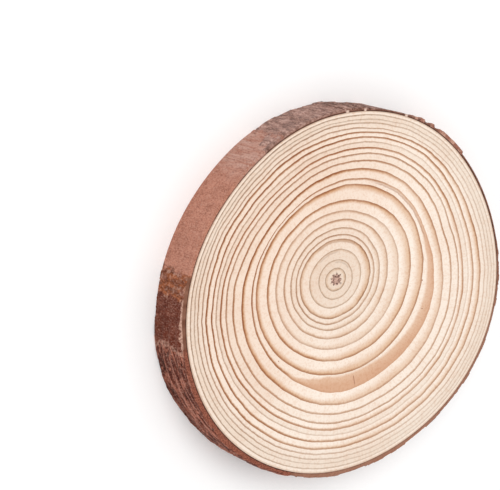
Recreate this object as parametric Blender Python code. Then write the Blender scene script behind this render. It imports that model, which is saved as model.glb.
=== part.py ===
"""A slice sawn across a pine trunk, with its bark on, lying on its sawn underside.

Metres, +Z up along the grain. Seen from above, +X is to the right, and angles run
counter-clockwise from it. The origin is on the surface that the slice lies on, under the
middle of its box. The driving dimensions come first; everything else follows from them.
"""

import math

import bmesh
import bpy
from mathutils import Vector, noise

MM = 0.001

# The wood: a slightly oval disc about its own middle
THICKNESS = 18.0 * MM
WOOD_RADIUS = 65.9 * MM
# Its waves round the edge, as (how many round, height, angle of the first crest in degrees)
WOOD_WAVES = (
    (1, 0.22 * MM, 168.0), (2, 1.75 * MM, 37.0), (3, 0.5 * MM, -28.5), (4, 0.28 * MM, -17.0),
    (5, 0.12 * MM, -26.0), (6, 0.07 * MM, -9.0), (7, 0.07 * MM, 4.0),
)
WOOD_SEGMENTS = 150

# The bark: a ring round the wood, a dried-out gap away
BARK_GAP = 0.3 * MM
BARK_SEGMENTS = 300
BARK_ROWS = 14
# Its thickness at the upper face, as (angle in degrees, millimetres)
BARK_THICKNESS_MM = (
    (0, 0.95), (7, 1.15), (19, 0.7), (36, 0.65), (45, 0.7), (60, 0.9), (80, 0.9), (92, 1.4),
    (120, 1.6), (160, 1.5), (182, 1.9), (205, 1.7), (228, 1.8), (246, 1.45), (254, 1.4),
    (271, 1.7), (288, 1.4), (300, 1.2), (324, 1.15), (336, 1.0), (348, 0.8), (355, 0.95),
)
THINNEST_BARK = 0.6 * MM
# Crusts left standing on it: (from angle, to angle, lowest, highest share of the slice's thickness,
# height at the first angle, height at the last)
CRUSTS = (
    (43.8, 55.4, 0.2, 1.0, 1.0 * MM, 0.65 * MM),
    (58.0, 59.0, 0.55, 1.0, 0.8 * MM, 0.8 * MM),
    (62.0, 63.2, 0.6, 1.0, 0.9 * MM, 0.9 * MM),
    (64.8, 65.4, 0.75, 1.0, 0.5 * MM, 0.5 * MM),
)
CRUST_EDGE_DEGREES = 0.5
CRUST_EDGE_SHARE = 0.05                   # the same edge, across the thickness of the slice
SMOOTH_FROM, SMOOTH_TO = 122.0, 168.0     # the stretch where only the smooth inner bark is left
FIBRES_FROM, FIBRES_TO = 186.0, 248.0     # the stretch of long bark fibres
# Plates are worn nearly even, but stay rough below the upper face on the far side
WORN_FROM, WORN_TO = 62.0, 245.0
WORN_RELIEF = 0.25                        # share of their relief that is left
ROUGH_BELOW, EVEN_ABOVE = 0.7, 0.95       # shares of the slice's thickness
FADE_DEGREES = 5.0
FIBRE_SPACING = 4.5 * MM                  # between the ridges that the fibres make round the trunk
FIBRE_CLIMB = 0.8                         # ridges that they climb in a radian
FIBRE_DEPTH = 0.3 * MM
FLARE_FROM, FLARE_TO = 190.0, 202.0       # the stretch that spreads towards the underside
FLARE_FADE_DEGREES = 14.0
FLARE = 1.0 * MM
PLATE_SIZE = 15.0 * MM
PLATE_STRETCH = 0.45                      # plates are longer along the trunk than across
PLATE_BEND = 0.3                          # how far their borders stray, as a share of a plate
PLATE_BEND_SIZE = 7.0 * MM
PLATE_SEED = 1795983234                   # fixes the bends, which would otherwise follow the clock
PLATE_STEP = 0.7 * MM
PLATE_SINK = 0.4                          # how far down plates sit on average, as a share of a step
PLATE_SPREAD = 7.0                        # keeps the heights of neighbouring plates unlike
FISSURE_WIDTH = 0.1                       # beside a higher plate, as a share of a plate
FISSURE_DEPTH = 0.6 * MM

PINE = ("pine", (0.82, 0.62, 0.43, 1.0), 0.62)
BARK = ("bark", (0.16, 0.075, 0.055, 1.0), 0.85)


def smooth_step(low, high, value):
    """0 below low, 1 above high, and an even S between them."""
    share = min(max((value - low) / (high - low), 0.0), 1.0)
    return share * share * (3.0 - 2.0 * share)


def within(low, high, fade, value):
    """1 between low and high, fading to 0 outside them."""
    return smooth_step(low - fade, low, value) * (1.0 - smooth_step(high, high + fade, value))


def wood_edge(angle):
    """The wood's radius about its own middle, at an angle in radians."""
    radius = WOOD_RADIUS
    for lobes, height, turn in WOOD_WAVES:
        radius += height * math.cos(lobes * (angle - math.radians(turn)))
    return radius


def bark_base(degrees):
    """The bark's own thickness at the upper face, between the listed places."""
    places = [*BARK_THICKNESS_MM, (360.0 + BARK_THICKNESS_MM[0][0], BARK_THICKNESS_MM[0][1])]
    for (start, low), (end, high) in zip(places, places[1:]):
        if start <= degrees <= end:
            return MM * (low + (high - low) * smooth_step(start, end, degrees))
    raise ValueError(f"no bark thickness at {degrees} degrees")


def plates(point):
    """The flaky bark's relief: plates at their own heights, with a fissure under each higher edge."""
    place = Vector((point.x, point.y, point.z * PLATE_STRETCH)) / PLATE_SIZE
    place += PLATE_BEND * noise.noise_vector(point / PLATE_BEND_SIZE)
    distances, seeds = noise.voronoi(place)
    own, other = (noise.cell(seed * PLATE_SPREAD) for seed in seeds[:2])
    border = 1.0 - smooth_step(0.0, FISSURE_WIDTH, distances[1] - distances[0])
    return PLATE_STEP * (own - PLATE_SINK) - FISSURE_DEPTH * border * max(other - own, 0.0)


def bark_thickness(degrees, height):
    """The bark's thickness at an angle and a height."""
    angle = math.radians(degrees)
    share = height / THICKNESS
    radius = wood_edge(angle)
    point = Vector((radius * math.cos(angle), radius * math.sin(angle), height))
    smooth = within(SMOOTH_FROM, SMOOTH_TO, FADE_DEGREES, degrees)
    fibrous = within(FIBRES_FROM, FIBRES_TO, FADE_DEGREES, degrees)
    worn = max(within(WORN_FROM, WORN_TO, FADE_DEGREES, degrees), smooth_step(ROUGH_BELOW, EVEN_ABOVE, share))
    flaky = (1.0 - smooth) * (1.0 - fibrous) * (1.0 - (1.0 - WORN_RELIEF) * worn)
    thickness = bark_base(degrees) + flaky * plates(point)
    ridges = math.cos(math.tau * (height / FIBRE_SPACING + FIBRE_CLIMB * angle))
    thickness += fibrous * FIBRE_DEPTH * ridges
    thickness += FLARE * within(FLARE_FROM, FLARE_TO, FLARE_FADE_DEGREES, degrees) * (1.0 - share)
    for start, end, low, high, first, last in CRUSTS:
        proud = first + (last - first) * (degrees - start) / (end - start)
        across = within(start, end, CRUST_EDGE_DEGREES, degrees)
        thickness += proud * across * within(low, high, CRUST_EDGE_SHARE, share)
    return max(thickness, THINNEST_BARK)


def finish(name, mesh, material):
    """Makes one named object of a closed bmesh, facing out, in its own material."""
    bmesh.ops.recalc_face_normals(mesh, faces=mesh.faces)
    data = bpy.data.meshes.new(name)
    mesh.to_mesh(data)
    mesh.free()
    slot, colour, roughness = material
    paint = bpy.data.materials.new(slot)
    paint.use_nodes = True
    shader = paint.node_tree.nodes["Principled BSDF"]
    shader.inputs["Base Color"].default_value = colour
    shader.inputs["Roughness"].default_value = roughness
    shader.inputs["Metallic"].default_value = 0.0
    data.materials.append(paint)
    data.shade_smooth()
    data.set_sharp_from_angle(angle=math.radians(35.0))
    piece = bpy.data.objects.new(name, data)
    bpy.context.collection.objects.link(piece)
    return piece


def join_rows(mesh, rows):
    """Closes a net of faces between neighbouring closed rows of vertices."""
    for inner, outer in zip(rows, rows[1:]):
        count = len(inner)
        for place in range(count):
            after = (place + 1) % count
            mesh.faces.new((inner[place], outer[place], outer[after], inner[after]))


def make_wood(middle):
    """The wood: one solid disc, sawn flat above and below."""
    mesh = bmesh.new()
    rows = []
    for height in (0.0, THICKNESS):
        verts = []
        for place in range(WOOD_SEGMENTS):
            angle = math.tau * place / WOOD_SEGMENTS
            radius = wood_edge(angle)
            point = Vector((radius * math.cos(angle), radius * math.sin(angle), height))
            verts.append(mesh.verts.new(point - middle))
        rows.append(verts)
    join_rows(mesh, rows)
    for verts in rows:
        mesh.faces.new(verts)
    return finish("wood", mesh, PINE)


def bark_rows():
    """The bark's outer face as rows of points, from the underside up, and its inner wall."""
    outer = []
    for row in range(BARK_ROWS):
        height = THICKNESS * row / (BARK_ROWS - 1)
        points = []
        for place in range(BARK_SEGMENTS):
            degrees = 360.0 * place / BARK_SEGMENTS
            angle = math.radians(degrees)
            radius = wood_edge(angle) + BARK_GAP + bark_thickness(degrees, height)
            points.append(Vector((radius * math.cos(angle), radius * math.sin(angle), height)))
        outer.append(points)
    inner = []
    for height in (THICKNESS, 0.0):
        points = []
        for place in range(BARK_SEGMENTS):
            angle = math.tau * place / BARK_SEGMENTS
            radius = wood_edge(angle) + BARK_GAP
            points.append(Vector((radius * math.cos(angle), radius * math.sin(angle), height)))
        inner.append(points)
    return outer, inner


def middle_of(rows):
    """The middle, in plan, of the box round some rows of points."""
    across = [point.x for points in rows for point in points]
    along = [point.y for points in rows for point in points]
    return Vector(((min(across) + max(across)) / 2.0, (min(along) + max(along)) / 2.0, 0.0))


def make_bark(outer, inner, middle):
    """The bark: one ring, with its relief outside and sawn flush with the wood."""
    mesh = bmesh.new()
    rows = [[mesh.verts.new(point - middle) for point in points] for points in [*outer, *inner]]
    join_rows(mesh, [*rows, rows[0]])
    return finish("bark", mesh, BARK)


def main():
    for item in list(bpy.data.objects):
        bpy.data.objects.remove(item, do_unlink=True)
    noise.seed_set(PLATE_SEED)
    outer, inner = bark_rows()
    middle = middle_of(outer)
    make_wood(middle)
    make_bark(outer, inner, middle)


main()
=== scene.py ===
"""The looks of a slice sawn across a pine trunk: its wood with growth rings, and its bark.

Run as a script. Metres, +Z up along the grain. Seen from above, +X is to the right, and angles
run counter-clockwise from it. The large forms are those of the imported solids.
"""

import math

import bpy
from mathutils import Matrix, Vector, noise


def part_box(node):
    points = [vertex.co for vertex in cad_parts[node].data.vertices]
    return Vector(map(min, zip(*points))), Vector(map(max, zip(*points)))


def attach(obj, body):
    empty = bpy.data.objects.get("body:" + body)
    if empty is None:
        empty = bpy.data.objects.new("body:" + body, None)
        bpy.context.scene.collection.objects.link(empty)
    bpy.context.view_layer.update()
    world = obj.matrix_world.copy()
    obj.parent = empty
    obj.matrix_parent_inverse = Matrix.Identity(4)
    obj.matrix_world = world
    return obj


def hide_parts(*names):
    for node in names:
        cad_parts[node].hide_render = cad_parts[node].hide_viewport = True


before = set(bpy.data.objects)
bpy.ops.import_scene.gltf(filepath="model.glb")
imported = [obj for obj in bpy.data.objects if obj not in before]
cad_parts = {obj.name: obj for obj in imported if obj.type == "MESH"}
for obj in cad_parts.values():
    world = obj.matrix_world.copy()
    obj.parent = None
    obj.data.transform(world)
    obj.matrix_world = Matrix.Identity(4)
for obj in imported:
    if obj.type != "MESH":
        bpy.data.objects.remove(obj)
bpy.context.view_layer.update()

bl_info = {
    "name": "Wood Slice",
    "version": (1, 0, 0),
    "blender": (4, 5, 0),
    "location": "View3D > Sidebar > Wood Slice",
    "description": "Makes a slice of a pine trunk with its growth rings and its bark",
    "category": "Add Mesh",
}

WOOD_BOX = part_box("wood")
MM = 0.001
TOUCHING = 0.001 * MM


# Shapes that the wood and the bark share

THICKNESS = WOOD_BOX[1][2]
WOOD_RADIUS = 65.9 * MM
# Its waves round the edge, as (how many round, height, angle of the first crest in degrees)
WOOD_WAVES = (
    (1, 0.22 * MM, 168.0), (2, 1.75 * MM, 37.0), (3, 0.5 * MM, -28.5), (4, 0.28 * MM, -17.0),
    (5, 0.12 * MM, -26.0), (6, 0.07 * MM, -9.0), (7, 0.07 * MM, 4.0),
)


def smooth_step(low, high, value):
    """0 below low, 1 above high, and an even S between them."""
    share = min(max((value - low) / (high - low), 0.0), 1.0)
    return share * share * (3.0 - 2.0 * share)


def within(low, high, fade, value):
    """1 between low and high, fading to 0 outside them."""
    return smooth_step(low - fade, low, value) * (1.0 - smooth_step(high, high + fade, value))


def along(places, value):
    """A height between listed places, as (where, height), with an even S from each to the next."""
    for (start, low), (end, high) in zip(places, places[1:]):
        if start <= value <= end:
            return low + (high - low) * smooth_step(start, end, value)
    raise ValueError(f"nothing is listed at {value}")


def wood_edge(angle):
    """The wood's radius about its own middle, at an angle in radians."""
    radius = WOOD_RADIUS
    for lobes, height, turn in WOOD_WAVES:
        radius += height * math.cos(lobes * (angle - math.radians(turn)))
    return radius


def around(angle, radius, height=0.0):
    """The point at an angle, a radius and a height."""
    return Vector((radius * math.cos(angle), radius * math.sin(angle), height))


def wood_middle():
    """Where the wood's own middle lies in the frame, found from the solid's box."""
    outline = [around(math.radians(degrees), wood_edge(math.radians(degrees))) for degrees in range(360)]
    middle = Vector((0.0, 0.0, 0.0))
    for axis in (0, 1):
        reach = [point[axis] for point in outline]
        middle[axis] = (WOOD_BOX[0][axis] + WOOD_BOX[1][axis]) / 2.0 - (min(reach) + max(reach)) / 2.0
    return middle


MIDDLE = wood_middle()


# The growth rings

# Where the pith is from the wood's middle
PITH = Vector((-5.4 * MM, 6.1 * MM, 0.0))
# Each ring's dark outer line: millimetres from the pith at 0, 60, 120, 180, 240 and 300 degrees,
# how dark it is on the side that grew slowly and on the fast side, and how much of the dark is grey
RINGS = (
    (4.1, 4.4, 4.4, 4.8, 4.5, 4.0, 0.5, 0.5, 0.8),
    (7.1, 7.4, 7.3, 7.5, 7.5, 6.9, 0.42, 0.38, 0.8),
    (10.8, 11.4, 10.7, 11.4, 10.9, 9.8, 0.43, 0.36, 0.7),
    (14.6, 15.3, 14.6, 15.5, 14.9, 13.5, 0.62, 0.67, 0.3),
    (16.4, 17.0, 16.2, 17.2, 17.0, 15.4, 0.62, 0.5, 0.3),
    (18.8, 19.4, 18.4, 19.4, 19.1, 17.9, 0.56, 0.45, 0.4),
    (22.0, 22.6, 21.2, 22.1, 22.1, 21.3, 0.53, 0.5, 0.2),
    (26.9, 26.0, 24.3, 25.5, 26.0, 25.7, 0.46, 0.36, 0.2),
    (32.3, 30.5, 27.4, 29.0, 29.9, 30.4, 0.77, 0.64, 0.0),
    (38.0, 36.5, 31.7, 33.5, 34.9, 35.9, 0.77, 0.64, 0.0),
    (42.7, 39.1, 32.9, 35.2, 38.7, 41.9, 0.88, 0.5, 0.0),
    (46.7, 42.7, 36.0, 39.1, 43.7, 47.4, 1.0, 0.6, 0.0),
    (50.6, 46.1, 38.7, 42.7, 47.4, 51.0, 0.71, 0.62, 0.1),
    (54.0, 48.9, 41.1, 45.4, 50.7, 54.3, 0.66, 0.55, 0.2),
    (56.0, 51.0, 42.9, 47.4, 53.1, 56.6, 0.92, 0.66, 0.0),
    (58.4, 53.1, 44.9, 49.1, 55.1, 58.8, 0.5, 0.2, 0.4),
    (60.7, 54.8, 47.0, 50.8, 57.9, 61.3, 1.0, 0.7, 0.1),
    (63.9, 56.6, 49.3, 53.1, 60.7, 64.0, 0.98, 0.7, 0.1),
    (66.0, 58.0, 50.6, 54.9, 62.6, 66.0, 0.72, 0.38, 0.3),
    (67.6, 59.9, 52.3, 56.6, 64.5, 67.7, 0.66, 0.3, 0.5),
    (69.0, 61.3, 53.7, 57.9, 66.2, 69.2, 0.52, 0.24, 0.7),
    (70.4, 62.9, 55.2, 59.4, 68.2, 70.5, 0.68, 0.3, 0.7),
    (71.7, 64.6, 56.8, 60.7, 69.9, 71.9, 0.3, 0.3, 0.3),
)
SLOW_TOWARDS = 165.0                      # the side that grew slowest
PALE_TOWARDS, PALE_BY = 290.0, 0.2        # the side where the outer rings end palest
# Rings from the second of these on run along with the edge, and those before the first don't
INNER_RING, OUTER_RING = 10, 12
# Where rings leave the even curves: (first ring, last ring, towards, half width, millimetres)
BULGES = (
    (7, 9, 28.0, 30.0, 0.8),
    (11, 11, 20.0, 25.0, -0.5),
    (11, 11, 272.0, 24.0, 1.4),
    (11, 11, 340.0, 24.0, 0.8),
    (12, 16, 272.0, 22.0, 0.55),
    (17, 18, 40.0, 18.0, 0.35),
    (19, 20, 92.0, 22.0, 0.35),
    (12, 15, 336.0, 30.0, 0.3),
    (12, 15, 28.0, 16.0, 0.3),
    (13, 14, 17.0, 6.0, -0.5),
    (12, 13, 162.0, 12.0, -0.3),
    (12, 18, 208.0, 22.0, 0.25),
    (16, 18, 92.0, 14.0, -0.3),
    (17, 20, 156.0, 7.0, 0.35),
    (15, 18, 190.0, 6.0, 0.25),
)
# The fine waver that neighbouring rings share: (size of the waves, how far they reach)
WAVERS = ((7.0 * MM, 0.26 * MM), (2.4 * MM, 0.13 * MM))
# One ring is broad and tan on the side that grew fastest. Its tan starts at this share of the
# ring, as (angle in degrees, share), and there is none where the share is over 1
BROAD_RING = 11
BROAD_FROM = (
    (228, 1.1), (235, 0.9), (240, 0.68), (250, 0.37), (256, 0.18), (264, 0.02), (290, 0.0), (310, 0.15),
    (330, 0.28), (345, 0.32), (360, 0.32), (370, 0.3), (380, 0.42), (390, 0.56), (410, 0.76), (430, 1.1),
    (588, 1.1),
)
# How much of a ring is dark late wood: on the slow side and on the fast side
SLOW_LATE, FAST_LATE = 0.46, 0.84
THIN_LATE_RINGS = (1, 2, 3, 13, 14, 16, 19, 20, 21, 22)     # these have little late wood all round
THIN_LATE = 0.28
FAST_FROM, FAST_TO, FAST_FADE = 285.0, 385.0, 35.0
# Short second lines: (ring, from angle, to angle, millimetres inside the ring's own line, darkness)
FALSE_LINES = (
    (2, 40.0, 90.0, 1.0, 0.25), (3, 90.0, 130.0, 1.0, 0.25), (4, 60.0, 120.0, 1.0, 0.3),
    (11, 20.0, 60.0, 1.2, 0.45),
)
# Fine drying cracks: (angle, from and to in millimetres from the pith, half width in millimetres)
CHECKS = (
    (282.0, 36.9, 41.2, 0.14), (338.0, 40.0, 41.5, 0.1), (353.0, 37.8, 38.3, 0.22),
    (228.0, 35.8, 36.2, 0.22),
)

WOOD_COLUMNS = 720
WOOD_ROWS = 2 * len(RINGS) + 1


def through_six(values, angle):
    """A smooth closed curve through six evenly spaced values, read at an angle."""
    total = sum(values) / 6.0
    for waves, weight in ((1, 1.0 / 3.0), (2, 1.0 / 3.0), (3, 1.0 / 6.0)):
        for place, value in enumerate(values):
            total += weight * value * math.cos(waves * (angle - math.radians(60.0 * place)))
    return total


def edge_from_pith(angle):
    """How far the wood's edge is from the pith, at an angle about the pith."""
    reach = WOOD_RADIUS
    for _ in range(15):
        point = PITH + around(angle, reach)
        reach += wood_edge(math.atan2(point.y, point.x)) - point.length
    return reach


EVEN_EDGE = [edge_from_pith(math.radians(60.0 * place)) / MM for place in range(6)]


def turn_between(degrees, towards):
    """The smallest turn between two directions, in degrees."""
    return (degrees - towards + 180.0) % 360.0 - 180.0


def ring_reach(ring, column):
    """How far the line of a ring is from the pith, where ring 0 is the pith itself."""
    if ring == 0:
        return 0.0
    degrees = 360.0 * (column % WOOD_COLUMNS) / WOOD_COLUMNS
    angle = math.radians(degrees)
    edge = edge_from_pith(angle)
    if ring == len(RINGS):
        return edge
    reach = through_six(RINGS[ring - 1][:6], angle)
    along_edge = smooth_step(INNER_RING, OUTER_RING, ring)
    reach += along_edge * (edge / MM - through_six(EVEN_EDGE, angle))
    for first, last, towards, half, rise in BULGES:
        if first <= ring <= last:
            reach += rise * math.exp(-1.5 * (turn_between(degrees, towards) / half) ** 2)
    reach *= MM
    calm = min(reach / (6.0 * MM), 1.0) * (0.4 if ring == len(RINGS) - 1 else 1.0)
    for size, height in WAVERS:
        reach += calm * height * noise.noise(around(angle, reach) / size)
    return reach


def ring_tones(ring, column):
    """A ring's darkness, late share, greyness, broad tan fill and second line at a column."""
    degrees = 360.0 * (column % WOOD_COLUMNS) / WOOD_COLUMNS
    slow_dark, fast_dark, grey = RINGS[ring - 1][6:]
    slow = smooth_step(-0.6, 0.6, math.cos(math.radians(degrees - SLOW_TOWARDS)))
    spot = around(math.radians(degrees), 1.6, ring * 0.7)
    dark = (fast_dark + (slow_dark - fast_dark) * slow) * (1.0 + 0.3 * noise.noise(spot * 2.0))
    if ring >= OUTER_RING:
        dark *= 1.0 - PALE_BY * smooth_step(-0.3, 0.7, math.cos(math.radians(degrees - PALE_TOWARDS)))
    fast = within(FAST_FROM, FAST_TO, FAST_FADE, degrees if degrees > 180.0 else degrees + 360.0)
    late = THIN_LATE if ring in THIN_LATE_RINGS else SLOW_LATE + (FAST_LATE - SLOW_LATE) * fast
    late += 0.08 * noise.noise(spot * 3.0)
    broad = BROAD_FROM[0][1]
    if ring == BROAD_RING:
        broad = along(BROAD_FROM, degrees if degrees >= BROAD_FROM[0][0] else degrees + 360.0)
    false_at, false_dark = 1.0, 0.0
    for owner, start, end, inside, strength in FALSE_LINES:
        if owner == ring:
            false_at, false_dark = inside, strength * within(start, end, 8.0, degrees)
    return dark, late, grey, broad, false_at, false_dark


# The bark, with the same large forms as its solid

BARK_GAP = 0.3 * MM
# Its thickness at the upper face, as (angle in degrees, millimetres)
BARK_THICKNESS_MM = (
    (0, 0.95), (7, 1.15), (19, 0.7), (36, 0.65), (45, 0.7), (60, 0.9), (80, 0.9), (92, 1.4),
    (120, 1.6), (160, 1.5), (182, 1.9), (205, 1.7), (228, 1.8), (246, 1.45), (254, 1.4),
    (271, 1.7), (288, 1.4), (300, 1.2), (324, 1.15), (336, 1.0), (348, 0.8), (355, 0.95),
)
THINNEST_BARK = 0.6 * MM
# Crusts left standing on it: (from angle, to angle, lowest, highest share of the slice's thickness,
# height at the first angle, height at the last)
CRUSTS = (
    (43.8, 55.4, 0.2, 1.0, 1.0 * MM, 0.65 * MM),
    (58.0, 59.0, 0.55, 1.0, 0.8 * MM, 0.8 * MM),
    (62.0, 63.2, 0.6, 1.0, 0.9 * MM, 0.9 * MM),
    (64.8, 65.4, 0.75, 1.0, 0.5 * MM, 0.5 * MM),
)
CRUST_EDGE_DEGREES = 0.5
CRUST_EDGE_SHARE = 0.05
SMOOTH_FROM, SMOOTH_TO = 122.0, 168.0     # the stretch where only the smooth inner bark is left
FIBRES_FROM, FIBRES_TO = 186.0, 248.0     # the stretch of long bark fibres
# Plates are worn nearly even, but stay rough below the upper face on the far side
WORN_FROM, WORN_TO = 62.0, 245.0
WORN_RELIEF = 0.25                        # share of their relief that is left
ROUGH_BELOW, EVEN_ABOVE = 0.7, 0.95       # shares of the slice's thickness
FADE_DEGREES = 5.0
FIBRE_SPACING = 4.5 * MM
FIBRE_CLIMB = 0.8
FIBRE_DEPTH = 0.3 * MM
FLARE_FROM, FLARE_TO = 190.0, 202.0       # the stretch that spreads towards the underside
FLARE_FADE_DEGREES = 14.0
FLARE = 1.0 * MM
PLATE_SIZE = 15.0 * MM
PLATE_STRETCH = 0.45
PLATE_BEND = 0.3
PLATE_BEND_SIZE = 7.0 * MM
PLATE_SEED = 1795983234                   # fixes the bends, which would otherwise follow the clock
PLATE_STEP = 0.7 * MM
PLATE_SINK = 0.4
PLATE_SPREAD = 7.0
FISSURE_WIDTH = 0.1
FISSURE_DEPTH = 0.6 * MM

# Fine relief that the solid leaves out
FLAKE_SIZE = 4.5 * MM
FLAKE_STEP = 0.2 * MM
FIBRE_LENGTH, FIBRE_HEIGHT = 11.0 * MM, 1.5 * MM     # meshes of the net of fibres, round and along the trunk
FIBRE_SHARE = 0.11                        # a fibre's width as a share of a mesh
FIBRE_SLOPE = 0.22                        # meshes that the net climbs in each mesh's length
FIBRE_STRAY = 1.1                         # how far the net strays, in meshes
GAP_LENGTH, GAP_HEIGHT = 3.6 * MM, 0.8 * MM     # openings between fibres
STRAND_STRETCH, STRAND_CLIMB = 0.05, 0.1        # how the finest strands of colour run
NET_RELIEF = 0.2 * MM
GRIT_SIZE = 0.8 * MM
GRIT_DEPTH = 0.08 * MM
RAGGED_SIZES = ((2.8 * MM, 2.2), (0.9 * MM, 0.9))     # how a stretch's edge strays, in degrees

# On the far side the outer bark has come off in patches
PEEL_FROM, PEEL_TO = 252.0, 400.0
PEEL_SIZE = 17.0 * MM
PEEL_LEVEL = 0.12
PEEL_DEPTH = 0.3 * MM
TORN_EDGE = 0.05                          # the pale torn edge of a patch, as a share of its noise

# The line beside the wood, as (angle in degrees, how dark it is)
SEAM = (
    (0, 0.6), (20, 0.95), (60, 0.95), (80, 0.95), (114, 0.85), (124, 0.8), (160, 0.8), (168, 0.85),
    (216, 0.85), (244, 0.85), (254, 0.35), (270, 0.25), (345, 0.25), (360, 0.6),
)
# Pale chips of wood that hang on the rim: (angle, half width in degrees)
CHIPS = ((69.0, 0.4), (84.5, 0.3), (91.0, 0.4))
SEEN_GAP = 0.05 * MM                      # crumbs fill most of the gap beside the wood

BARK_COLUMNS = 1440
RIM_ROWS = 6
OUTER_ROWS = 46
UNDER_ROWS = 3
# The inner wall is one row, then come the upper rim, the outer face and the rim underneath
OUTER_START = 1 + RIM_ROWS
UNDER_START = OUTER_START + OUTER_ROWS
BARK_ROWS = UNDER_START + UNDER_ROWS


def bark_base(degrees):
    """The bark's own thickness at the upper face."""
    return MM * along([*BARK_THICKNESS_MM, (360.0 + BARK_THICKNESS_MM[0][0], BARK_THICKNESS_MM[0][1])], degrees)


def plates(point):
    """The flaky bark's relief, each plate's number, and how high or low its border is over the next."""
    place = Vector((point.x, point.y, point.z * PLATE_STRETCH)) / PLATE_SIZE
    place += PLATE_BEND * noise.noise_vector(point / PLATE_BEND_SIZE)
    distances, seeds = noise.voronoi(place)
    own, other = (noise.cell(seed * PLATE_SPREAD) for seed in seeds[:2])
    border = 1.0 - smooth_step(0.0, FISSURE_WIDTH, distances[1] - distances[0])
    relief = PLATE_STEP * (own - PLATE_SINK) - FISSURE_DEPTH * border * max(other - own, 0.0)
    return relief, own, border * (own - other)


def flakes(point):
    """Small thin flakes on the plates: their relief, and a number for each."""
    place = Vector((point.x, point.y, point.z * PLATE_STRETCH)) / FLAKE_SIZE
    place += PLATE_BEND * noise.noise_vector(point / (2.0 * MM))
    seeds = noise.voronoi(place)[1]
    number = noise.cell(seeds[0] * PLATE_SPREAD)
    return FLAKE_STEP * (number - 0.5), number


def net(angle, height):
    """The net of fibres: from 0 beside a fibre to 1 on it, and how open the bark is between fibres."""
    fibre = 0.0
    for layer, slope in ((0.0, FIBRE_SLOPE), (9.0, -0.5 * FIBRE_SLOPE), (17.0, 0.2 * FIBRE_SLOPE)):
        place = Vector((angle * WOOD_RADIUS / FIBRE_LENGTH, height / FIBRE_HEIGHT, layer))
        place.y += FIBRE_STRAY * noise.noise(place / 2.5) + slope * place.x
        fibre = max(fibre, 1.0 - smooth_step(0.0, FIBRE_SHARE, abs(noise.noise(place))))
    place = Vector((angle * WOOD_RADIUS / GAP_LENGTH, height / GAP_HEIGHT, 5.0))
    # Openings grow more common towards the underside, where their painted shade darkens the lower edge
    open_wide = noise.noise(place) - 0.25 * height / THICKNESS
    return fibre, (1.0 - fibre) * smooth_step(0.22, 0.34, open_wide)


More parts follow.
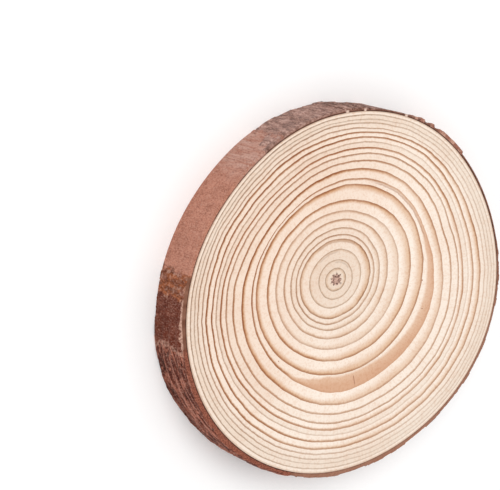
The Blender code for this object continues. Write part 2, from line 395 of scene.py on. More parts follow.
def bark_spot(degrees, height):
    """The bark's thickness at a place, and the numbers that its colours follow."""
    angle = math.radians(degrees)
    share = height / THICKNESS
    point = around(angle, wood_edge(angle), height)
    smooth = within(SMOOTH_FROM, SMOOTH_TO, FADE_DEGREES, degrees)
    fibrous = within(FIBRES_FROM, FIBRES_TO, FADE_DEGREES, degrees)
    relief, plate, border = plates(point)
    worn = max(within(WORN_FROM, WORN_TO, FADE_DEGREES, degrees), smooth_step(ROUGH_BELOW, EVEN_ABOVE, share))
    flaky = (1.0 - smooth) * (1.0 - fibrous) * (1.0 - (1.0 - WORN_RELIEF) * worn)
    thickness = bark_base(degrees) + flaky * relief
    ridges = math.cos(math.tau * (height / FIBRE_SPACING + FIBRE_CLIMB * angle))
    thickness += fibrous * FIBRE_DEPTH * ridges
    thickness += FLARE * within(FLARE_FROM, FLARE_TO, FLARE_FADE_DEGREES, degrees) * (1.0 - share)
    crust = 0.0
    for start, end, low, high, first, last in CRUSTS:
        proud = first + (last - first) * (degrees - start) / (end - start)
        across = within(start, end, CRUST_EDGE_DEGREES, degrees)
        cover = across * within(low, high, CRUST_EDGE_SHARE, share)
        thickness += proud * cover
        crust = max(crust, cover)

    strayed = degrees + sum(reach * noise.noise(point / size) for size, reach in RAGGED_SIZES)
    fresh_from = SMOOTH_FROM - 5.0 * (1.0 - smooth_step(0.55, 0.7, share))
    stripe = within(115.2, 116.6, 0.4, strayed)
    bare = within(fresh_from, SMOOTH_TO, 0.5, strayed)
    netted = within(FIBRES_FROM + 3.5, FIBRES_TO, 1.0, strayed)
    calm = within(60.0, SMOOTH_FROM, 1.0, strayed) + within(SMOOTH_TO, FIBRES_FROM + 3.5, 0.5, strayed)
    flaky = (1.0 - bare) * (1.0 - netted)
    turned = degrees if degrees > PEEL_TO - 360.0 + 20.0 else degrees + 360.0
    peel = noise.noise(Vector((point.x, point.y, 0.6 * point.z)) / PEEL_SIZE)
    peel += 0.12 * noise.noise(point / (2.5 * MM)) - 2.0 * (1.0 - within(PEEL_FROM, PEEL_TO, 4.0, turned))
    peeled = (1.0 - crust) * smooth_step(PEEL_LEVEL, PEEL_LEVEL + 0.01, peel)
    torn_edge = (1.0 - crust) * smooth_step(PEEL_LEVEL - TORN_EDGE, PEEL_LEVEL - 0.6 * TORN_EDGE, peel) - peeled
    small, flake = flakes(point)
    fibre, gap = net(angle, height)
    thickness += flaky * (1.0 - peeled) * small + netted * NET_RELIEF * (fibre - 2.0 * gap)
    thickness += (1.0 - 0.8 * bare) * GRIT_DEPTH * noise.noise(point / GRIT_SIZE)
    thickness -= 0.15 * MM * bare + PEEL_DEPTH * peeled

    zigzag = 0.92 + 0.1 * noise.noise(point / (1.5 * MM))
    torn = within(175.5, 188.5, 0.6, strayed) * smooth_step(zigzag, zigzag + 0.02, share)
    lip = within(189.2, 190.2, 0.3, strayed)
    rusty = within(168.0, 175.0, 1.0, strayed)
    shreds = rusty * smooth_step(0.2, 0.32, noise.noise(point / (1.4 * MM)))
    flecks = within(117.5, 121.5, 0.5, strayed) * smooth_step(0.22, 0.34, noise.noise(point / (1.1 * MM)))
    # Painted highlight: the raised side of a plate border is made pale
    painted_ridge_highlight = smooth_step(0.1, 0.5, border) * (1.0 - worn)
    scrap = smooth_step(0.93, 0.95, flake) * smooth_step(0.1, 0.4, noise.noise(point / (9.0 * MM)))
    seam = along(SEAM, degrees) * (1.0 + 0.5 * noise.noise(point / (1.7 * MM)))
    return max(thickness, THINNEST_BARK), {
        "bare": max(bare, 0.7 * stripe),
        "dusk": bare * (1.0 - smooth_step(127.0, 139.0, strayed)),
        "netted": netted,
        "grey": within(60.0, fresh_from - 0.5, 0.5, strayed) * (1.0 - 0.7 * stripe),
        "faded": within(94.0, 117.0, 2.0, strayed) + 1.2 * within(117.0, fresh_from, 0.5, strayed),
        "rust": rusty,
        "deep": within(175.0, 189.5, 0.8, strayed),
        "crust": crust,
        # Painted shade: near-black in the fissures on the low side of plate borders and in the openings between fibres,
        # with some dark flecks
        "fissure_shade_and_flecks": max(flaky * (1.0 - calm) * (1.0 - peeled) * smooth_step(0.1, 0.5, -border), netted * gap,
                      0.6 * flecks * smooth_step(0.55, 0.7, share)),
        "fibre": fibre,
        "plate": plate,
        "peeled": peeled,
        # Pale marks: real torn edges, lips, shreds and scraps, and the painted highlight on raised plate edges
        "pale": max(torn, 0.45 * lip, 0.4 * shreds, (1.0 - 0.8 * rusty) * flaky * (1.0 - calm) * max(painted_ridge_highlight, scrap),
                    torn_edge),
        "seam": min(seam, 1.0),
        "sawn": 0.0,
        "chip": 0.0,
        "from_wood": 0.0,
    }


# Modelling

def rolled_grid(name, columns, rows, place):
    """A grid rolled round the trunk, where place gives the point of each column and row."""
    bpy.ops.object.select_all(action="DESELECT")
    bpy.ops.mesh.primitive_grid_add(x_subdivisions=columns, y_subdivisions=rows, size=1.0)
    piece = bpy.context.object
    piece.name = name
    piece.data.name = name
    spots = []
    for vert in piece.data.vertices:
        column = round((vert.co.x + 0.5) * columns)
        row = round((vert.co.y + 0.5) * rows)
        spots.append((column, row))
        vert.co = place(column, row)
    return piece, spots


def fill_map(piece, spots, name, value):
    """A UV map where value gives each corner from its column, its row and its face's first row."""
    layer = piece.data.uv_layers.new(name=name)
    for face in piece.data.polygons:
        corners = [spots[index] for index in face.vertices]
        first_column = min(column for column, row in corners)
        first_row = min(row for column, row in corners)
        for loop, (column, row) in zip(face.loop_indices, corners):
            layer.data[loop].uv = value(column, row, first_column, first_row)


def close_up(piece, sharp_degrees):
    """Closes the seams of a rolled grid, turns its faces outwards and smooths it."""
    bpy.ops.object.mode_set(mode="EDIT")
    bpy.ops.mesh.select_all(action="SELECT")
    bpy.ops.mesh.remove_doubles(threshold=TOUCHING)
    bpy.ops.mesh.normals_make_consistent(inside=False)
    bpy.ops.object.mode_set(mode="OBJECT")
    bpy.ops.object.shade_smooth_by_angle(angle=math.radians(sharp_degrees))
    piece.data.uv_layers.active = piece.data.uv_layers["OFBake"]
    piece.data.uv_layers["OFBake"].active_render = True


# Materials

def paint(red, green, blue):
    """A colour for Blender from the 0 to 255 values of a colour picker."""
    shares = [value / 255.0 for value in (red, green, blue)]
    return (*[share / 12.92 if share <= 0.04045 else ((share + 0.055) / 1.055) ** 2.4 for share in shares], 1.0)


def add(tree, kind, feeds, **settings):
    """One node with its settings, each input fed by a socket or a plain value."""
    node = tree.nodes.new(kind)
    node.location.x = 200.0 * len(tree.nodes)
    for name, value in settings.items():
        setattr(node, name, value)
    for place, value in feeds.items():
        if isinstance(value, bpy.types.NodeSocket):
            tree.links.new(value, node.inputs[place])
        else:
            node.inputs[place].default_value = value
    return node


def reckon(tree, operation, *values):
    """The result of a sum with sockets and numbers."""
    return add(tree, "ShaderNodeMath", dict(enumerate(values)), operation=operation).outputs[0]


def step(tree, value, low, high, to_low=0.0, to_high=1.0):
    """An even S between two values of a socket."""
    feeds = {"Value": value, "From Min": low, "From Max": high, "To Min": to_low, "To Max": to_high}
    return add(tree, "ShaderNodeMapRange", feeds, interpolation_type="SMOOTHSTEP").outputs["Result"]


def mixed(tree, share, low, high, blend="MIX"):
    """Two colours mixed by a share."""
    node = add(tree, "ShaderNodeMix", {0: share, 6: low, 7: high}, data_type="RGBA", blend_type=blend)
    return node.outputs[2]


def grain(tree, place, scale, detail=3.0, roughness=0.55):
    """Noise from 0 to 1 at a place."""
    feeds = {"Vector": place, "Scale": scale, "Detail": detail, "Roughness": roughness}
    return add(tree, "ShaderNodeTexNoise", feeds).outputs["Fac"]


def object_place(tree, offset=(0.0, 0.0, 0.0), stretch=(1.0, 1.0, 1.0)):
    """Object coordinates in metres, moved and stretched."""
    whole = add(tree, "ShaderNodeTexCoord", {}).outputs["Object"]
    feeds = {"Vector": whole, "Location": offset, "Scale": stretch}
    return add(tree, "ShaderNodeMapping", feeds).outputs["Vector"]


def strand_place(tree):
    """Object coordinates stretched along the strands that run round the bark and climb a little."""
    outward = around(math.radians(0.5 * (FIBRES_FROM + FIBRES_TO)), 1.0)
    across = Vector((outward.y * STRAND_CLIMB, -outward.x * STRAND_CLIMB, 1.0))
    place = object_place(tree)
    height = add(tree, "ShaderNodeVectorMath", {0: place, 1: across}, operation="DOT_PRODUCT").outputs["Value"]
    flat = add(tree, "ShaderNodeVectorMath", {0: place, 1: (STRAND_STRETCH, STRAND_STRETCH, 0.0)},
               operation="MULTIPLY").outputs[0]
    upright = add(tree, "ShaderNodeCombineXYZ", {2: height}).outputs[0]
    return add(tree, "ShaderNodeVectorMath", {0: flat, 1: upright}, operation="ADD").outputs[0]


def pair_of(tree, name):
    """The two numbers of a UV map."""
    place = add(tree, "ShaderNodeUVMap", {}, uv_map=name).outputs["UV"]
    parts = add(tree, "ShaderNodeSeparateXYZ", {0: place})
    return parts.outputs["X"], parts.outputs["Y"]


def spread(tree, name):
    """A number that the bark's mesh carries."""
    return add(tree, "ShaderNodeAttribute", {}, attribute_name=name).outputs["Fac"]


def new_material(name):
    """An empty material with its shader."""
    material = bpy.data.materials.new(name)
    material.use_nodes = True
    tree = material.node_tree
    return material, tree, tree.nodes["Principled BSDF"]


def wood_material(look):
    """Sanded bare pine, with its growth rings across the grain."""
    material, tree, shader = new_material("sanded pine")
    since, until = pair_of(tree, "rings")
    dark, late = pair_of(tree, "shade")
    grey, broad = pair_of(tree, "tone")
    second_at, second_dark = pair_of(tree, "second")
    place = object_place(tree, offset=tuple(-(PITH + MIDDLE)))

    fuzz = reckon(tree, "MULTIPLY_ADD", grain(tree, place, 900.0, 2.0), 0.55, -0.27)
    until = reckon(tree, "ADD", until, fuzz)
    width = reckon(tree, "MAXIMUM", reckon(tree, "ADD", since, until), 0.05)
    share = reckon(tree, "DIVIDE", since, width)
    darkening = step(tree, share, reckon(tree, "SUBTRACT", 1.0, late), 0.87)
    reach = reckon(tree, "MULTIPLY_ADD", grey, -0.5 * look.line_width / MM, look.line_width / MM)
    reach = reckon(tree, "MINIMUM", reach, reckon(tree, "MULTIPLY", width, 0.5))
    line = step(tree, until, reach, reckon(tree, "MULTIPLY", reach, 0.3))

    early = mixed(tree, grey, look.pale, look.grey_pale)
    tan = mixed(tree, grey, look.tan, look.grey_tan)
    stroke = mixed(tree, grey, look.line, look.grey_line)
    tanned = reckon(tree, "MINIMUM", reckon(tree, "MULTIPLY", dark, 1.15), 1.0)
    colour = mixed(tree, reckon(tree, "MULTIPLY", darkening, tanned), early, tan)
    edge = reckon(tree, "SUBTRACT", share, broad)
    filled = reckon(tree, "MULTIPLY", step(tree, edge, -0.05, 0.2), step(tree, broad, 1.4, 0.0, 0.0, 1.0))
    colour = mixed(tree, filled, colour, mixed(tree, step(tree, edge, 0.1, 0.7), look.broad_pale, look.broad))
    inked = reckon(tree, "MULTIPLY", line, reckon(tree, "MULTIPLY_ADD", filled, -0.75, 1.0))
    colour = mixed(tree, reckon(tree, "MULTIPLY", inked, dark), colour, stroke)
    off_second = reckon(tree, "ABSOLUTE", reckon(tree, "SUBTRACT", until, second_at))
    second = reckon(tree, "MULTIPLY", step(tree, off_second, 0.45, 0.1), second_dark)
    colour = mixed(tree, second, colour, stroke)

    parts = add(tree, "ShaderNodeSeparateXYZ", {0: place})
    reach = reckon(tree, "SQRT", reckon(tree, "ADD", reckon(tree, "POWER", parts.outputs["X"], 2.0),
                                        reckon(tree, "POWER", parts.outputs["Y"], 2.0)))
    angle = reckon(tree, "ARCTAN2", parts.outputs["Y"], parts.outputs["X"])
    flat = add(tree, "ShaderNodeVectorMath", {0: place, 1: (1.0, 1.0, 0.0)}, operation="MULTIPLY").outputs[0]
    outward = add(tree, "ShaderNodeVectorMath", {0: flat}, operation="NORMALIZE").outputs[0]
    spoke = add(tree, "ShaderNodeVectorMath", {0: outward, 1: (90.0, 90.0, 0.0)}, operation="MULTIPLY").outputs[0]
    along = add(tree, "ShaderNodeCombineXYZ", {2: reckon(tree, "MULTIPLY", reach, 60.0)}).outputs[0]
    rays_at = add(tree, "ShaderNodeVectorMath", {0: spoke, 1: along}, operation="ADD").outputs[0]
    rays = grain(tree, rays_at, 1.0, 2.0)
    colour = mixed(tree, step(tree, rays, 0.35, 0.75, 0.0, 0.15), colour, look.ray, "MULTIPLY")
    patches = grain(tree, place, 45.0, 3.0)
    colour = mixed(tree, step(tree, patches, 0.4, 0.7, 0.0, 0.15), colour, look.ray, "MULTIPLY")
    flecks = grain(tree, place, 1300.0, 2.0)
    colour = mixed(tree, step(tree, flecks, 0.45, 0.7, 0.0, 0.33), colour, look.ray, "MULTIPLY")
    # Painted shade: the face is made a little warmer and darker towards 150 degrees, on the side that grew slowly,
    # standing for light that falls off across it, and less so in the outer rings
    towards = add(tree, "ShaderNodeVectorMath", {0: place, 1: around(math.radians(150.0), 1.0)},
                  operation="DOT_PRODUCT").outputs["Value"]
    painted_side_shade = reckon(tree, "MULTIPLY", step(tree, towards, -30.0 * MM, 35.0 * MM, 0.0, 0.37),
                    step(tree, reach, 46.0 * MM, 56.0 * MM, 1.0, 0.5))
    colour = mixed(tree, painted_side_shade, colour, look.ray, "MULTIPLY")

    for degrees, start, end, half in CHECKS:
        ray = around(math.radians(degrees), 1.0)
        across_it = add(tree, "ShaderNodeVectorMath", {0: place, 1: (-ray.y, ray.x, 0.0)},
                        operation="DOT_PRODUCT").outputs["Value"]
        along_it = add(tree, "ShaderNodeVectorMath", {0: place, 1: ray}, operation="DOT_PRODUCT").outputs["Value"]
        middle = reckon(tree, "ABSOLUTE", reckon(tree, "SUBTRACT", along_it, 0.5 * (start + end) * MM))
        inside = step(tree, middle, 0.5 * (end - start) * MM, 0.3 * (end - start) * MM)
        beside = step(tree, reckon(tree, "ABSOLUTE", across_it), 1.6 * half * MM, 0.6 * half * MM)
        colour = mixed(tree, reckon(tree, "MULTIPLY", inside, beside), colour, look.check)

    # The pith: a pink middle with dark ragged arms round it
    halo = step(tree, reach, 1.3 * look.pith_radius, 0.8 * look.pith_radius)
    colour = mixed(tree, reckon(tree, "MULTIPLY", halo, 0.85), colour, look.pith_halo)
    bend = reckon(tree, "MULTIPLY_ADD", grain(tree, place, 500.0, 2.0), 3.2, -1.6)
    arms = reckon(tree, "COSINE", reckon(tree, "MULTIPLY_ADD", angle, 9.0, bend))
    waver = reckon(tree, "MULTIPLY_ADD", grain(tree, place, 900.0, 2.0), 3.6 * MM, -1.5 * MM)
    outline = reckon(tree, "ADD", reckon(tree, "MULTIPLY_ADD", arms, 0.55 * MM, look.pith_radius), waver)
    inside = step(tree, reckon(tree, "SUBTRACT", outline, reach), -0.05 * MM, 0.25 * MM)
    spots = step(tree, grain(tree, place, 1500.0, 2.0), 0.58, 0.4, 0.3, 1.0)
    root = step(tree, reach, 0.2 * look.pith_radius, 0.7 * look.pith_radius, 0.35, 1.0)
    inked = reckon(tree, "MULTIPLY", reckon(tree, "MULTIPLY", inside, spots), root)
    colour = mixed(tree, inked, colour, look.pith)

    fine = grain(tree, place, 2200.0, 2.0)
    relief = reckon(tree, "ADD", reckon(tree, "MULTIPLY", fine, 0.5), reckon(tree, "MULTIPLY", rays, 0.5))
    bump = add(tree, "ShaderNodeBump", {"Strength": 0.25, "Distance": 0.05 * MM, "Height": relief})
    tree.links.new(colour, shader.inputs["Base Color"])
    tree.links.new(bump.outputs["Normal"], shader.inputs["Normal"])
    tree.links.new(step(tree, darkening, 0.0, 1.0, 0.72, 0.6), shader.inputs["Roughness"])
    shader.inputs["Specular IOR Level"].default_value = 0.25
    return material


def bark_material(look):
    """Dry flaking bark, with bare inner bark, strands and sawn rims."""
    material, tree, shader = new_material("pine bark")
    place = object_place(tree)
    streaks_at = object_place(tree, stretch=(1.0, 1.0, 0.12))
    streaks = grain(tree, streaks_at, 900.0, 3.0)
    wide_streaks = grain(tree, streaks_at, 260.0, 3.0)
    threads = grain(tree, object_place(tree, stretch=(1.0, 1.0, 0.5)), 1900.0, 3.0, 0.75)
    strands = grain(tree, object_place(tree, stretch=(1.0, 1.0, 0.3)), 620.0, 3.0, 0.7)
    mottle = grain(tree, place, 320.0, 4.0)
    specks = grain(tree, place, 1500.0, 2.0)

    ramp = add(tree, "ShaderNodeValToRGB", {0: spread(tree, "plate")})
    ramp.color_ramp.interpolation = "CONSTANT"
    stops = ((0.0, look.dusty), (0.18, look.purple), (0.36, look.pink), (0.46, look.red),
             (0.62, look.rust), (0.76, look.moss), (0.88, look.dusty))
    while len(ramp.color_ramp.elements) < len(stops):
        ramp.color_ramp.elements.new(1.0)
    for stop, (where, colour) in zip(ramp.color_ramp.elements, stops):
        stop.position = where
        stop.color = colour
    patches = grain(tree, streaks_at, 140.0, 3.0)
    colour = mixed(tree, step(tree, patches, 0.5, 0.62, 0.0, 0.6), ramp.outputs[0], look.dusty)
    peel = mixed(tree, step(tree, wide_streaks, 0.4, 0.65), look.peeled, look.bare)
    colour = mixed(tree, spread(tree, "peeled"), colour, peel)

    bare = spread(tree, "bare")
    skin = mixed(tree, step(tree, mottle, 0.35, 0.7), look.bare, look.bare_dark)
    grained = mixed(tree, step(tree, streaks, 0.35, 0.7), look.bare_dusty, look.bare_dark)
    skin = mixed(tree, spread(tree, "dusk"), skin, grained)
    colour = mixed(tree, bare, colour, skin)
    greyed = mixed(tree, step(tree, strands, 0.43, 0.49), look.grey_dark, look.grey)
    greyed = mixed(tree, step(tree, strands, 0.54, 0.61), greyed, look.grey_streak)
    greyed = mixed(tree, reckon(tree, "MULTIPLY", spread(tree, "faded"), 0.35), greyed, look.grey_streak)
    colour = mixed(tree, spread(tree, "grey"), colour, greyed)
    rusty = mixed(tree, step(tree, strands, 0.42, 0.6), look.rust_dark, look.rust)
    colour = mixed(tree, spread(tree, "rust"), colour, mixed(tree, step(tree, mottle, 0.55, 0.65), rusty, look.red))
    sunk = mixed(tree, step(tree, mottle, 0.5, 0.75, 0.0, 0.6), look.deep, look.red)
    sunk = mixed(tree, step(tree, strands, 0.5, 0.66, 0.0, 0.35), sunk, look.red)
    colour = mixed(tree, spread(tree, "deep"), colour, sunk)
    hairs = grain(tree, strand_place(tree), 1150.0, 3.0, 0.7)
    # Painted shade: the bark between the fibres is made near-black
    string = mixed(tree, spread(tree, "fibre"), look.fibre_shade_and_dark_strands, look.fibre)
    # The same dark colour for the real dark strands
    string = mixed(tree, step(tree, hairs, 0.49, 0.4, 0.0, 0.85), string, look.fibre_shade_and_dark_strands)
    string = mixed(tree, step(tree, hairs, 0.53, 0.62, 0.0, 0.55), string, look.fibre_pale)
    # Painted shadow: the fibres darken towards the underside
    height = add(tree, "ShaderNodeSeparateXYZ", {0: place}).outputs["Z"]
    string = mixed(tree, step(tree, height, 7.0 * MM, 1.0 * MM, 0.0, 0.35), string, look.fibre_shade_and_dark_strands)
    colour = mixed(tree, spread(tree, "netted"), colour, string)
    crust = mixed(tree, step(tree, mottle, 0.4, 0.65), look.crust, look.pink)
    colour = mixed(tree, spread(tree, "crust"), colour, crust)
    # Pink on the pale marks: real torn edges, lips, shreds and scraps, and the painted highlight on raised plate edges
    colour = mixed(tree, reckon(tree, "MULTIPLY", spread(tree, "pale"), step(tree, specks, 0.3, 0.5)), colour, look.pink)
    calm = step(tree, reckon(tree, "MAXIMUM", bare, spread(tree, "peeled")), 0.0, 1.0, 0.5, 0.12)
    colour = mixed(tree, reckon(tree, "MULTIPLY", step(tree, streaks, 0.4, 0.7), calm), colour, look.streak, "MULTIPLY")
    # Dark specks in the fissure colour, then the painted shade of the fissures and openings
    colour = mixed(tree, reckon(tree, "MULTIPLY", step(tree, specks, 0.6, 0.72), calm), colour, look.fissure_shade_and_flecks)
    colour = mixed(tree, spread(tree, "fissure_shade_and_flecks"), colour, look.fissure_shade_and_flecks)
    colour = mixed(tree, step(tree, threads, 0.5, 0.66, 0.0, 0.3), colour, look.thread_pale)
    colour = mixed(tree, step(tree, threads, 0.5, 0.34, 0.0, 0.6), colour, look.thread_dark, "MULTIPLY")

    seam = spread(tree, "seam")
    rim = mixed(tree, seam, look.sawn, look.sawn_dark)
    rim = mixed(tree, step(tree, specks, 0.45, 0.7, 0.0, 0.4), rim, look.sawn_dark)
    rim = mixed(tree, reckon(tree, "MAXIMUM", bare, reckon(tree, "MULTIPLY", spread(tree, "crust"), 0.85)), rim, colour)
    outer = reckon(tree, "MULTIPLY", step(tree, spread(tree, "from_wood"), 0.3, 0.75), spread(tree, "grey"))
    rim = mixed(tree, reckon(tree, "MULTIPLY", outer, 0.8), rim, colour)
    frayed = mixed(tree, step(tree, threads, 0.4, 0.62, 0.15, 0.85), look.fibre_shade_and_dark_strands, look.fibre)
    rim = mixed(tree, reckon(tree, "MULTIPLY", spread(tree, "netted"), 0.8), rim, frayed)
    inner = step(tree, spread(tree, "from_wood"), reckon(tree, "MULTIPLY_ADD", bare, -0.05, 0.5), 0.2)
    rim = mixed(tree, reckon(tree, "MULTIPLY", inner, seam), rim, look.sawn_inner)
    rim = mixed(tree, spread(tree, "chip"), rim, look.chip)
    colour = mixed(tree, spread(tree, "sawn"), colour, rim)

    relief = reckon(tree, "ADD", reckon(tree, "MULTIPLY", specks, 0.4), reckon(tree, "MULTIPLY", streaks, 0.6))
    bump = add(tree, "ShaderNodeBump", {"Strength": 0.7, "Distance": 0.25 * MM, "Height": relief})
    tree.links.new(colour, shader.inputs["Base Color"])
    tree.links.new(bump.outputs["Normal"], shader.inputs["Normal"])
    tree.links.new(step(tree, spread(tree, "bare"), 0.0, 1.0, 0.88, 0.62), shader.inputs["Roughness"])
    shader.inputs["Specular IOR Level"].default_value = 0.25
    return material


# Settings

def colour(name, description, value):
    """A colour that the user can change."""
    return bpy.props.FloatVectorProperty(name=name, description=description, subtype="COLOR",
                                         size=4, min=0.0, max=1.0, default=value)


def length(name, description, value):
    """A length that the user can change."""
    return bpy.props.FloatProperty(name=name, description=description, unit="LENGTH",
                                   precision=5, min=0.0, default=value)


class WoodLook(bpy.types.PropertyGroup):
    """Colours and sizes of the sanded wood."""

    pale: colour("Early wood", "Pale wood at the start of a ring", paint(246, 233, 220))
    tan: colour("Late wood", "Tan wood towards the end of a ring", paint(214, 170, 129))
    line: colour("Ring line", "Darkest wood at the end of a ring", paint(153, 97, 58))
    grey_pale: colour("Heart early wood", "Early wood of the rings round the pith", paint(230, 213, 196))
    grey_tan: colour("Heart late wood", "Late wood of the rings round the pith", paint(206, 176, 145))
    grey_line: colour("Heart ring line", "Ring lines round the pith and near the bark", paint(112, 97, 84))
    broad: colour("Broad ring", "The broad tan ring on the side that grew fastest", paint(213, 169, 138))
    broad_pale: colour("Broad ring inside", "The same ring where its tan begins", paint(222, 186, 158))
    # The rays' tint is also the tint of the painted shade on the side towards 150 degrees
    ray: colour("Rays", "Tint of the fine rays and patches", paint(232, 205, 185))
    check: colour("Drying cracks", "Fine cracks across the rings", paint(164, 116, 92))
    pith: colour("Pith", "The dark arms round the middle", paint(92, 58, 50))
    pith_halo: colour("Pith middle", "The pinkish middle of the pith", paint(210, 168, 150))
    line_width: length("Line width", "Width of the dark line at the end of a ring", 1.05 * MM)
    pith_radius: length("Pith radius", "Mean radius of the pith", 1.9 * MM)


class BarkLook(bpy.types.PropertyGroup):
    """Colours of the bark."""

    bare: colour("Inner bark", "Smooth inner bark where the flakes are gone", paint(184, 124, 102))
    bare_dark: colour("Inner bark patches", "Soft darker patches on the inner bark", paint(166, 108, 87))
    bare_dusty: colour("Dusty inner bark", "The dustier end of the smooth inner bark", paint(184, 142, 127))
    peeled: colour("Peeled patches", "Fresh inner bark where the outer bark came off", paint(210, 156, 128))
    dusty: colour("Dusty plates", "Pink-brown plates", paint(156, 112, 99))
    purple: colour("Grey plates", "Purple-grey plates", paint(124, 101, 97))
    pink: colour("Pale plates", "Pink-tan plates and torn edges", paint(212, 168, 148))
    red: colour("Red plates", "Reddish-brown plates", paint(140, 86, 68))
    rust: colour("Rust plates", "Orange-brown plates", paint(158, 88, 50))
    rust_dark: colour("Dark rust", "Darker parts of the orange-brown bark", paint(112, 58, 34))
    moss: colour("Weathered plates", "Dark weathered plates", paint(92, 85, 73))
    grey: colour("Grey stretch", "The stretch of grey-brown bark", paint(143, 106, 93))
    grey_dark: colour("Grey stretch grooves", "Darker streaks on it", paint(88, 57, 48))
    grey_streak: colour("Grey streaks", "Paler streaks on it", paint(190, 154, 143))
    deep: colour("Deep bark", "Dark red-brown bark", paint(104, 44, 24))
    # Near-black painted shade between the fibres and towards the underside, also the colour of dark strands
    fibre_shade_and_dark_strands: colour("Between fibres", "Bark between the fibres", paint(82, 28, 14))
    fibre: colour("Fibres", "Pinkish fibres of the net", paint(176, 106, 84))
    fibre_pale: colour("Pale fibres", "The palest of the fibres", paint(204, 144, 124))
    crust: colour("Crusts", "Reddish crusts left on the bark", paint(160, 104, 86))
    streak: colour("Weathering", "Tint of the streaks along the trunk", paint(185, 165, 155))
    # The near-black of the painted shade in fissures and between fibres, also used for dark specks and flecks
    fissure_shade_and_flecks: colour("Fissures", "Near-black fissures", paint(58, 34, 28))
    thread_pale: colour("Pale threads", "Fine pale threads along the trunk", paint(206, 168, 152))
    thread_dark: colour("Dark threads", "Tint of the fine dark threads along the trunk", paint(160, 136, 128))
    sawn: colour("Sawn bark", "The sawn rim of the bark", paint(168, 121, 99))
    sawn_dark: colour("Dark sawn bark", "The sawn rim where the bark is dark", paint(108, 66, 48))
    sawn_inner: colour("Sawn bark inside", "The sawn rim beside the wood", paint(72, 42, 30))
    chip: colour("Chips", "Pale chips of wood on the rim", paint(214, 186, 170))


class StageLook(bpy.types.PropertyGroup):
    """The floor, the light and the camera."""

    floor: colour("Floor", "Plain pale floor", paint(254, 254, 254))
    sky: bpy.props.FloatProperty(name="Soft light", description="Strength of the even light", default=0.85)
    lamp: bpy.props.FloatProperty(name="Softbox", description="Power of the softbox", default=4.0, unit="POWER")
    tilt: bpy.props.FloatProperty(name="Tilt", description="Camera's angle from straight above",
                                  default=math.radians(36.0), subtype="ANGLE")
    turn: bpy.props.FloatProperty(name="Turn", description="Direction from the slice to the camera",
                                  default=math.radians(157.0), subtype="ANGLE")
    distance: length("Distance", "From the middle of the face to the camera", 0.778)
    lens: bpy.props.FloatProperty(name="Lens", description="Focal length in millimetres", default=156.0)


# Where the camera looks on the face, from the wood's middle
AIM = Vector((-41.3 * MM, 22.7 * MM, THICKNESS))


class WOODSLICE_OT_wood(bpy.types.Operator):
    """Make the sanded wood with its growth rings"""

    bl_idname = "wood_slice.wood"
    bl_label = "Wood"

    def execute(self, context):
        count = len(RINGS)
        reaches = [[ring_reach(ring, column) for ring in range(count + 1)] for column in range(WOOD_COLUMNS)]
        tones = [[ring_tones(max(ring, 1), column) for ring in range(count + 1)] for column in range(WOOD_COLUMNS)]

        def ring_of(row):
            return row if row <= count else WOOD_ROWS - row

        def place(column, row):
            angle = math.tau * (column % WOOD_COLUMNS) / WOOD_COLUMNS
            height = THICKNESS if row <= count else 0.0
            return MIDDLE + PITH + around(angle, reaches[column % WOOD_COLUMNS][ring_of(row)], height)

        def outer_ring(first_row):
            return min(max(ring_of(first_row), ring_of(first_row + 1)), count)

        def rings(column, row, first_column, first_row):
            if first_row == count:
                return 0.0, 5.0
            outer = outer_ring(first_row)
            reach = reaches[column % WOOD_COLUMNS]
            width = (reach[outer] - reach[outer - 1]) / MM
            return (width, 0.0) if ring_of(row) == outer else (0.0, width)

        def shade(column, row, first_column, first_row):
            return tones[column % WOOD_COLUMNS][outer_ring(first_row)][:2]

        def tone(column, row, first_column, first_row):
            return tones[column % WOOD_COLUMNS][outer_ring(first_row)][2:4]

        def second(column, row, first_column, first_row):
            return tones[column % WOOD_COLUMNS][outer_ring(first_row)][4:]

        def bake(column, row, first_column, first_row):
            if first_row == count:
                return column / WOOD_COLUMNS, 0.99 if row == count else 0.97
            centre, size = ((0.36, 0.36), 0.35) if first_row < count else ((0.84, 0.84), 0.12)
            reach = around(math.tau * column / WOOD_COLUMNS, reaches[column % WOOD_COLUMNS][ring_of(row)])
            scale = size / (1.12 * WOOD_RADIUS)
            return centre[0] + reach.x * scale, centre[1] + reach.y * scale

        piece, spots = rolled_grid("sawn_wood", WOOD_COLUMNS, WOOD_ROWS, place)
        maps = (("OFBake", bake), ("rings", rings), ("shade", shade), ("tone", tone), ("second", second))
        for name, value in maps:
            fill_map(piece, spots, name, value)
        close_up(piece, 30.0)
        piece.data.materials.append(wood_material(context.scene.wood_look))
        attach(piece, "root")
        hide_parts("wood")
        return {"FINISHED"}


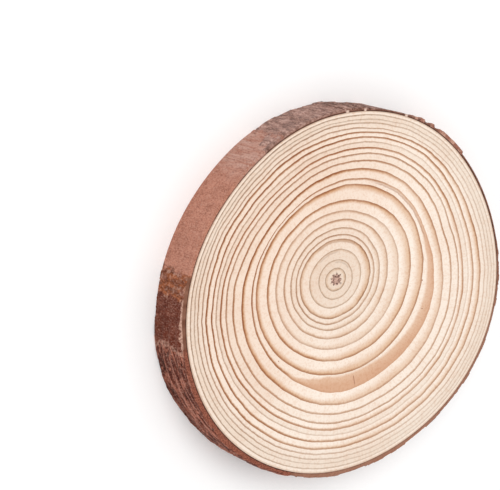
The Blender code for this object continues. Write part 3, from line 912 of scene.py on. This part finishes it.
class WOODSLICE_OT_bark(bpy.types.Operator):
    """Make the ring of bark"""

    bl_idname = "wood_slice.bark"
    bl_label = "Bark"

    def execute(self, context):
        noise.seed_set(PLATE_SEED)
        kinds = {}

        def place(column, row):
            degrees = 360.0 * (column % BARK_COLUMNS) / BARK_COLUMNS
            angle = math.radians(degrees)
            inner = wood_edge(angle) + SEEN_GAP
            height = THICKNESS
            if row in (0, BARK_ROWS):
                height = 0.0
            elif row >= OUTER_START:
                height = THICKNESS * (1.0 - min((row - OUTER_START) / OUTER_ROWS, 1.0))
            thickness, numbers = bark_spot(degrees, height)
            across = 1.0
            if row < OUTER_START:
                across = max(row - 1, 0) / RIM_ROWS
            elif row > UNDER_START:
                across = (BARK_ROWS - row) / UNDER_ROWS
            width = across * (BARK_GAP - SEEN_GAP + thickness)
            if row < OUTER_START or row > UNDER_START:
                numbers["sawn"] = 1.0
                numbers["from_wood"] = width / MM
                near = 1.0 - smooth_step(0.7 * MM, 1.0 * MM, width)
                numbers["chip"] = near * max(within(at - half, at + half, 0.2, degrees) for at, half in CHIPS)
            kinds[column, row] = numbers
            return MIDDLE + around(angle, inner + width, height)

        def bake(column, row, first_column, first_row):
            strip = 4 * first_column // BARK_COLUMNS
            return 4.0 * column / BARK_COLUMNS - strip, (strip + 0.01 + 0.98 * row / BARK_ROWS) / 4.0

        piece, spots = rolled_grid("bark_ring", BARK_COLUMNS, BARK_ROWS, place)
        for name in kinds[0, 0]:
            layer = piece.data.attributes.new(name, "FLOAT", "POINT")
            layer.data.foreach_set("value", [kinds[spot][name] for spot in spots])
        fill_map(piece, spots, "OFBake", bake)
        close_up(piece, 40.0)
        piece.data.materials.append(bark_material(context.scene.bark_look))
        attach(piece, "root")
        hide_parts("bark")
        return {"FINISHED"}


class WOODSLICE_OT_stage(bpy.types.Operator):
    """Make the floor, the light and the camera"""

    bl_idname = "wood_slice.stage"
    bl_label = "Stage"

    def execute(self, context):
        look = context.scene.stage_look
        bpy.ops.object.select_all(action="DESELECT")
        bpy.ops.mesh.primitive_plane_add(size=8.0)
        floor = context.object
        floor.name = "floor"
        material, tree, shader = new_material("plain floor")
        shader.inputs["Base Color"].default_value = look.floor
        shader.inputs["Roughness"].default_value = 0.9
        shader.inputs["Specular IOR Level"].default_value = 0.1
        floor.data.materials.append(material)

        world = bpy.data.worlds.new("soft light")
        world.use_nodes = True
        background = world.node_tree.nodes["Background"]
        background.inputs["Color"].default_value = (1.0, 1.0, 1.0, 1.0)
        background.inputs["Strength"].default_value = look.sky
        context.scene.world = world
        bpy.ops.object.light_add(type="AREA", location=(-0.25, 0.45, 0.95))
        lamp = context.object
        lamp.name = "softbox"
        lamp.data.shape = "DISK"
        lamp.data.size = 0.7
        lamp.data.energy = look.lamp
        lamp.rotation_euler = (-lamp.location).to_track_quat("-Z", "Y").to_euler()

        face = MIDDLE + Vector((0.0, 0.0, THICKNESS))
        away = around(look.turn, math.sin(look.tilt), math.cos(look.tilt))
        spot = face + look.distance * away
        back = (spot - MIDDLE - AIM).normalized()
        right = Vector((0.0, 1.0, 0.0)).cross(back).normalized()
        turn = Matrix((right, back.cross(right), back)).transposed()
        bpy.ops.object.camera_add(location=spot, rotation=turn.to_euler())
        camera = context.object
        camera.name = "camera"
        camera.data.lens = look.lens
        context.scene.camera = camera
        context.scene.view_settings.view_transform = "Standard"
        return {"FINISHED"}


class WOODSLICE_PT_panel(bpy.types.Panel):
    """Sizes, colours and buttons of the wood slice"""

    bl_label = "Wood Slice"
    bl_idname = "WOODSLICE_PT_panel"
    bl_space_type = "VIEW_3D"
    bl_region_type = "UI"
    bl_category = "Wood Slice"

    def draw(self, context):
        for group, operator in (("wood_look", "wood_slice.wood"), ("bark_look", "wood_slice.bark"),
                                ("stage_look", "wood_slice.stage")):
            box = self.layout.box()
            look = getattr(context.scene, group)
            for name in look.__annotations__:
                box.prop(look, name)
            box.operator(operator)


CLASSES = (WoodLook, BarkLook, StageLook, WOODSLICE_OT_wood, WOODSLICE_OT_bark, WOODSLICE_OT_stage,
           WOODSLICE_PT_panel)


def register():
    for item in CLASSES:
        bpy.utils.register_class(item)
    bpy.types.Scene.wood_look = bpy.props.PointerProperty(type=WoodLook)
    bpy.types.Scene.bark_look = bpy.props.PointerProperty(type=BarkLook)
    bpy.types.Scene.stage_look = bpy.props.PointerProperty(type=StageLook)


def unregister():
    del bpy.types.Scene.stage_look
    del bpy.types.Scene.bark_look
    del bpy.types.Scene.wood_look
    for item in reversed(CLASSES):
        bpy.utils.unregister_class(item)


def main():
    register()
    bpy.ops.wood_slice.wood()
    bpy.ops.wood_slice.bark()
    bpy.ops.wood_slice.stage()


if __name__ == "__main__":
    main()
